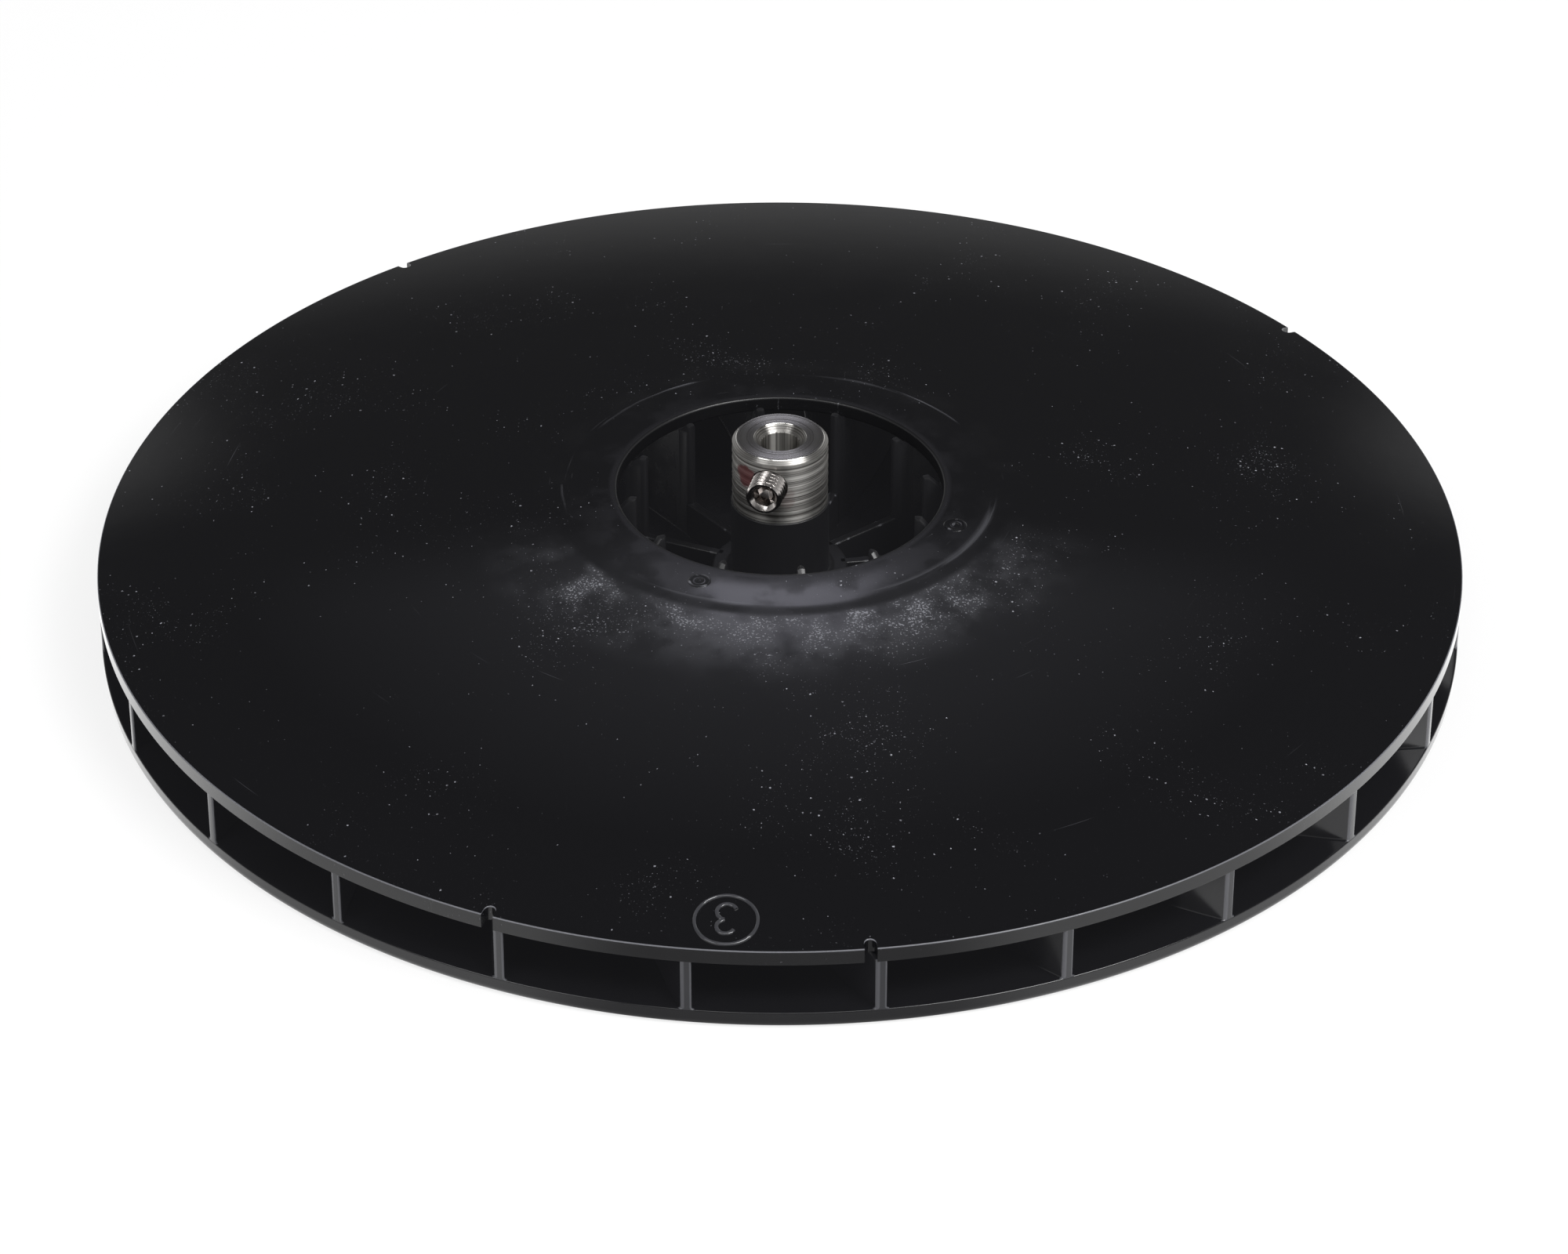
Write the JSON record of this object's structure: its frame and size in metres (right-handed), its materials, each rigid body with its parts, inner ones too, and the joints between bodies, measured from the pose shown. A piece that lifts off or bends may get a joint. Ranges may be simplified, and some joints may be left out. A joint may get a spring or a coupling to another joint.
{
  "type": "inducer blower wheel",
  "caption": "Closed centrifugal blower wheel of black moulded plastic with leaning blades between a back plate and a domed shroud, on a metal bushing with a set screw.",
  "frame": {"origin": "centre of the back plate's back face, on the wheel's axis", "axes": "+Z along the wheel's axis towards the inlet eye; the set screw faces about -Y"},
  "size_m": [0.226, 0.226, 0.0347],
  "materials": {
    "shroud_plastic": "glossy black moulded plastic, dusty and lightly scuffed",
    "wheel_plastic": "glossy black moulded plastic",
    "bushing_metal": "turned steel with fine tool rings",
    "screw_steel": "bright steel with a red smear of thread lock beside it"
  },
  "bodies": {
    "root": {"top_shroud": "shroud_plastic", "bladed_back_plate": "wheel_plastic", "hub_bushing": "bushing_metal", "set_screw": "screw_steel"}
  },
  "joints": []
}
